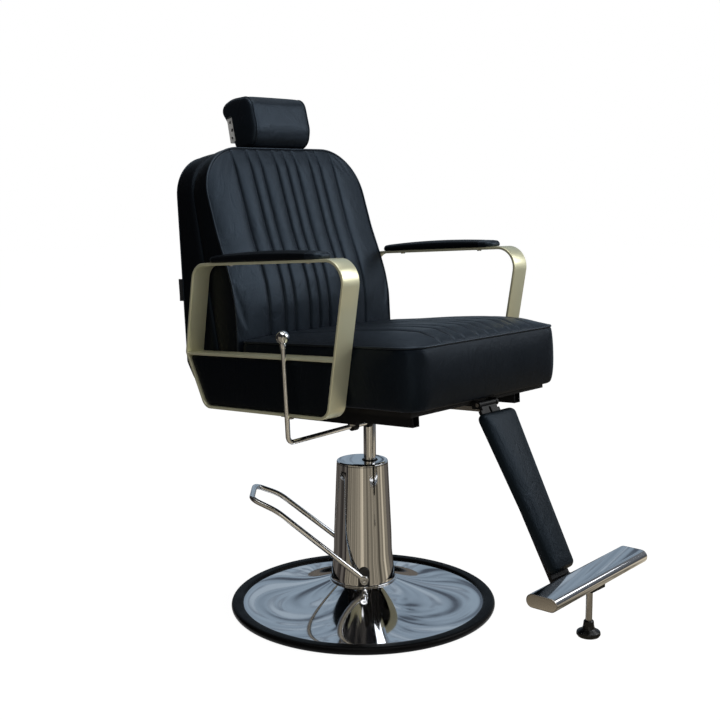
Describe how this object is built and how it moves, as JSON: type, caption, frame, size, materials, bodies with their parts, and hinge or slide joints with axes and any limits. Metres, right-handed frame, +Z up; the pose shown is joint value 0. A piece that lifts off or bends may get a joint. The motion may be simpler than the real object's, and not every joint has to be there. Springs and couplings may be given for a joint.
{
  "type": "hydraulic barber chair",
  "caption": "Reclining barber chair on a round base: foot pedal, hydraulic column, swivelling seat, flat-bar arms, reclining back with sliding headrest and a rising leg rest.",
  "frame": {"origin": "on the floor under the centre of the round base", "axes": "+Z up along the column, -Y the way the sitter faces, +X to the sitter's left"},
  "size_m": [0.6231, 1.0001, 1.1446],
  "materials": {
    "black_rubber": "matte",
    "chrome": "polished",
    "black_paint": "satin",
    "cast_iron": "matte",
    "bronze": "satin",
    "black_plastic": "matte",
    "steel": "satin",
    "black_plywood": "matte",
    "black_leather": "satin",
    "satin_gold": "satin",
    "black_webbing": "matte"
  },
  "bodies": {
    "base": {"base_ring": "black_rubber", "base_dish": "chrome", "base_plate": "black_paint", "pump_body": "cast_iron", "pump_cover": "chrome", "pump_cap": "chrome", "ram_seal": "black_rubber", "ram_bush": "bronze", "cover_plug": "black_plastic", "pedal_bezels": "black_plastic", "foot_bolts": "chrome", "plunger_spring": "steel"},
    "pedal": {"pedal_lever": "chrome", "pedal_shaft": "steel", "pedal_bolts": "chrome"},
    "plunger": {"pump_plunger": "steel"},
    "lift": {"ram": "chrome", "ram_piston": "black_plastic", "thrust_washer": "steel"},
    "seat": {"swivel_socket": "black_paint", "mount_plate": "black_paint", "seat_rails": "black_paint", "frame_bolts": "steel", "back_hinge_ears": "black_paint", "back_hinge_pins": "steel", "leg_hinge_bracket": "black_paint", "leg_hinge_pin": "steel", "seat_board": "black_plywood", "seat_cushion": "black_leather", "left_arm": "satin_gold", "right_arm": "satin_gold", "arm_brackets": "black_paint", "left_side_panel": "black_leather", "right_side_panel": "black_leather", "left_arm_pad": "black_leather", "right_arm_pad": "black_leather", "arm_pad_screws": "steel", "lever_bracket": "black_paint", "strut_cylinder": "black_paint"},
    "recline_handle": {"recline_lever": "chrome", "lever_ball": "chrome"},
    "push_link": {"push_bar": "steel"},
    "lock_strut": {"strut_rod": "chrome"},
    "back": {"back_cushion": "black_leather", "back_board": "black_plywood", "back_rear_pad": "black_leather", "back_arms": "black_paint", "back_cross_shaft": "black_paint", "headrest_guide": "black_paint", "side_tag": "black_webbing"},
    "head_slide": {"headrest_post": "steel"},
    "headrest": {"headrest_cushion": "black_leather", "headrest_channel": "steel", "headrest_hinge_pin": "chrome"},
    "leg_rest": {"leg_bar": "black_paint", "calf_pad": "black_leather", "foot_bar": "chrome", "foot_bar_caps": "chrome", "foot_rod": "steel", "rubber_foot": "black_rubber"}
  },
  "joints": [
    {"name": "pedal_hinge", "type": "hinge", "parent": "base", "child": "pedal", "pos_m": [0, 0, 0.083], "axis": [-0.7071, -0.7071, 0], "range_deg": [0, 22], "stiffness_Nm_per_rad": 2, "springref_deg": -60.16},
    {"name": "plunger_slide", "type": "slide", "parent": "base", "child": "plunger", "axis": [0, 0, -1], "range_m": [0, 0.01096], "deforming": ["plunger_spring"]},
    {"name": "lift_slide", "type": "slide", "parent": "base", "child": "lift", "axis": [0, 0, 1], "range_m": [-0.074, 0.076]},
    {"name": "seat_swivel", "type": "hinge", "parent": "lift", "child": "seat", "pos_m": [0.01202, -0.01202, 0.42], "axis": [0, 0, 1], "continuous": true},
    {"name": "recline_lever_hinge", "type": "hinge", "parent": "seat", "child": "recline_handle", "pos_m": [-0.13798, -0.09058, 0.44583], "axis": [1, 0, 0], "range_deg": [0, 18], "stiffness_Nm_per_rad": 0.6, "springref_deg": -40.11},
    {"name": "back_recline", "type": "hinge", "parent": "seat", "child": "back", "pos_m": [0.01202, 0.18234, 0.48376], "axis": [-1, 0, 0], "range_deg": [0, 32]},
    {"name": "push_bar_slide", "type": "slide", "parent": "seat", "child": "push_link", "axis": [0, -0.998, 0.0628], "range_m": [0, 0.01244]},
    {"name": "strut_slide", "type": "slide", "parent": "seat", "child": "lock_strut", "axis": [0, -0.998, 0.0628], "range_m": [0, 0.01244]},
    {"name": "leg_rest_hinge", "type": "hinge", "parent": "seat", "child": "leg_rest", "pos_m": [0.01202, -0.33626, 0.50637], "axis": [-1, 0, 0], "range_deg": [0, 48.5]},
    {"name": "headrest_slide", "type": "slide", "parent": "back", "child": "head_slide", "axis": [0, 0.2079, 0.9781], "range_m": [0, 0.09]},
    {"name": "headrest_tilt", "type": "hinge", "parent": "head_slide", "child": "headrest", "pos_m": [0.01202, 0.33804, 1.07289], "axis": [1, 0, 0], "range_deg": [-25, 0]}
  ],
  "couplings": [
    {"joint": "plunger_slide", "follows": "pedal_hinge", "m_per_rad": 0.0275},
    {"joint": "push_bar_slide", "follows": "back_recline", "m_per_rad": 0.021556},
    {"joint": "strut_slide", "follows": "back_recline", "m_per_rad": 0.021556},
    {"joint": "leg_rest_hinge", "follows": "back_recline", "ratio": 1.5}
  ]
}
